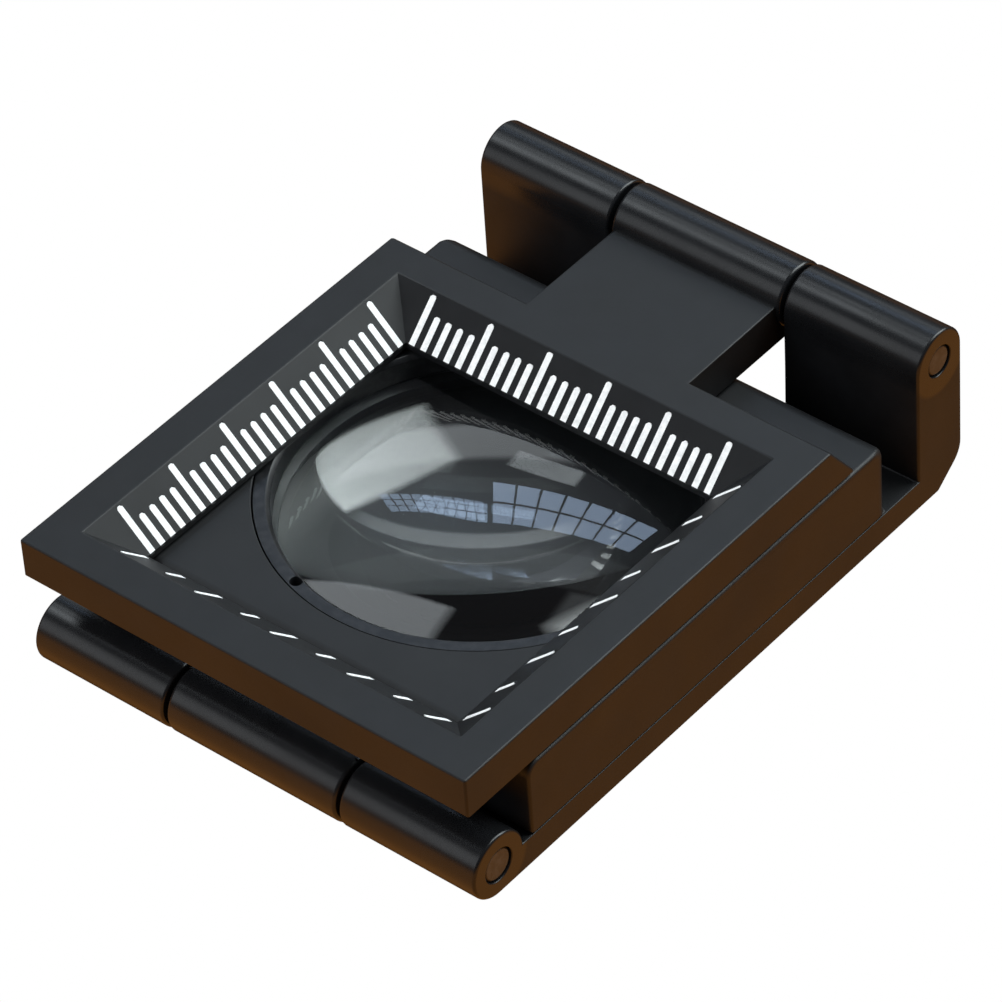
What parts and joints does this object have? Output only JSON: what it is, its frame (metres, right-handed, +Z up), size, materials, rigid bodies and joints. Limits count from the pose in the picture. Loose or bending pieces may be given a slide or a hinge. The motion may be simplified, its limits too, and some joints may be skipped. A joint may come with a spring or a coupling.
{
  "type": "folding magnifier",
  "caption": "Folding pocket magnifier, folded flat: hinged black metal plates carry a lens in a ring-held cell and a square window with engraved millimetre and inch scales.",
  "frame": {"origin": "middle of the footprint, on the spine plate's outer face, which the folded magnifier rests on", "axes": "+X along the hinge pins, +Y from the lens hinge to the tall scale hinge, +Z up from the spine plate's outer face"},
  "size_m": [0.0372, 0.0514, 0.0138],
  "materials": {
    "plate_metal": "satin black coating over metal, worn to a paler line along the edges",
    "ring_metal": "turned, satin black",
    "pin_metal": "blackened steel",
    "lens_glass": "polished, clear"
  },
  "bodies": {
    "spine": {"spine_plate": "plate_metal", "scale_hinge_pin": "pin_metal", "lens_hinge_pin": "pin_metal"},
    "scale": {"scale_plate": "plate_metal"},
    "lens_holder": {"lens_plate": "plate_metal", "lens": "lens_glass", "lens_retaining_ring": "ring_metal"}
  },
  "joints": [
    {"name": "scale_hinge", "type": "hinge", "parent": "spine", "child": "scale", "pos_m": [0, 0.0233, 0.01145], "axis": [-1, 0, 0], "range_deg": [0, 270]},
    {"name": "lens_hinge", "type": "hinge", "parent": "spine", "child": "lens_holder", "pos_m": [0, -0.02315, 0.00245], "axis": [1, 0, 0], "range_deg": [0, 0.3]}
  ]
}
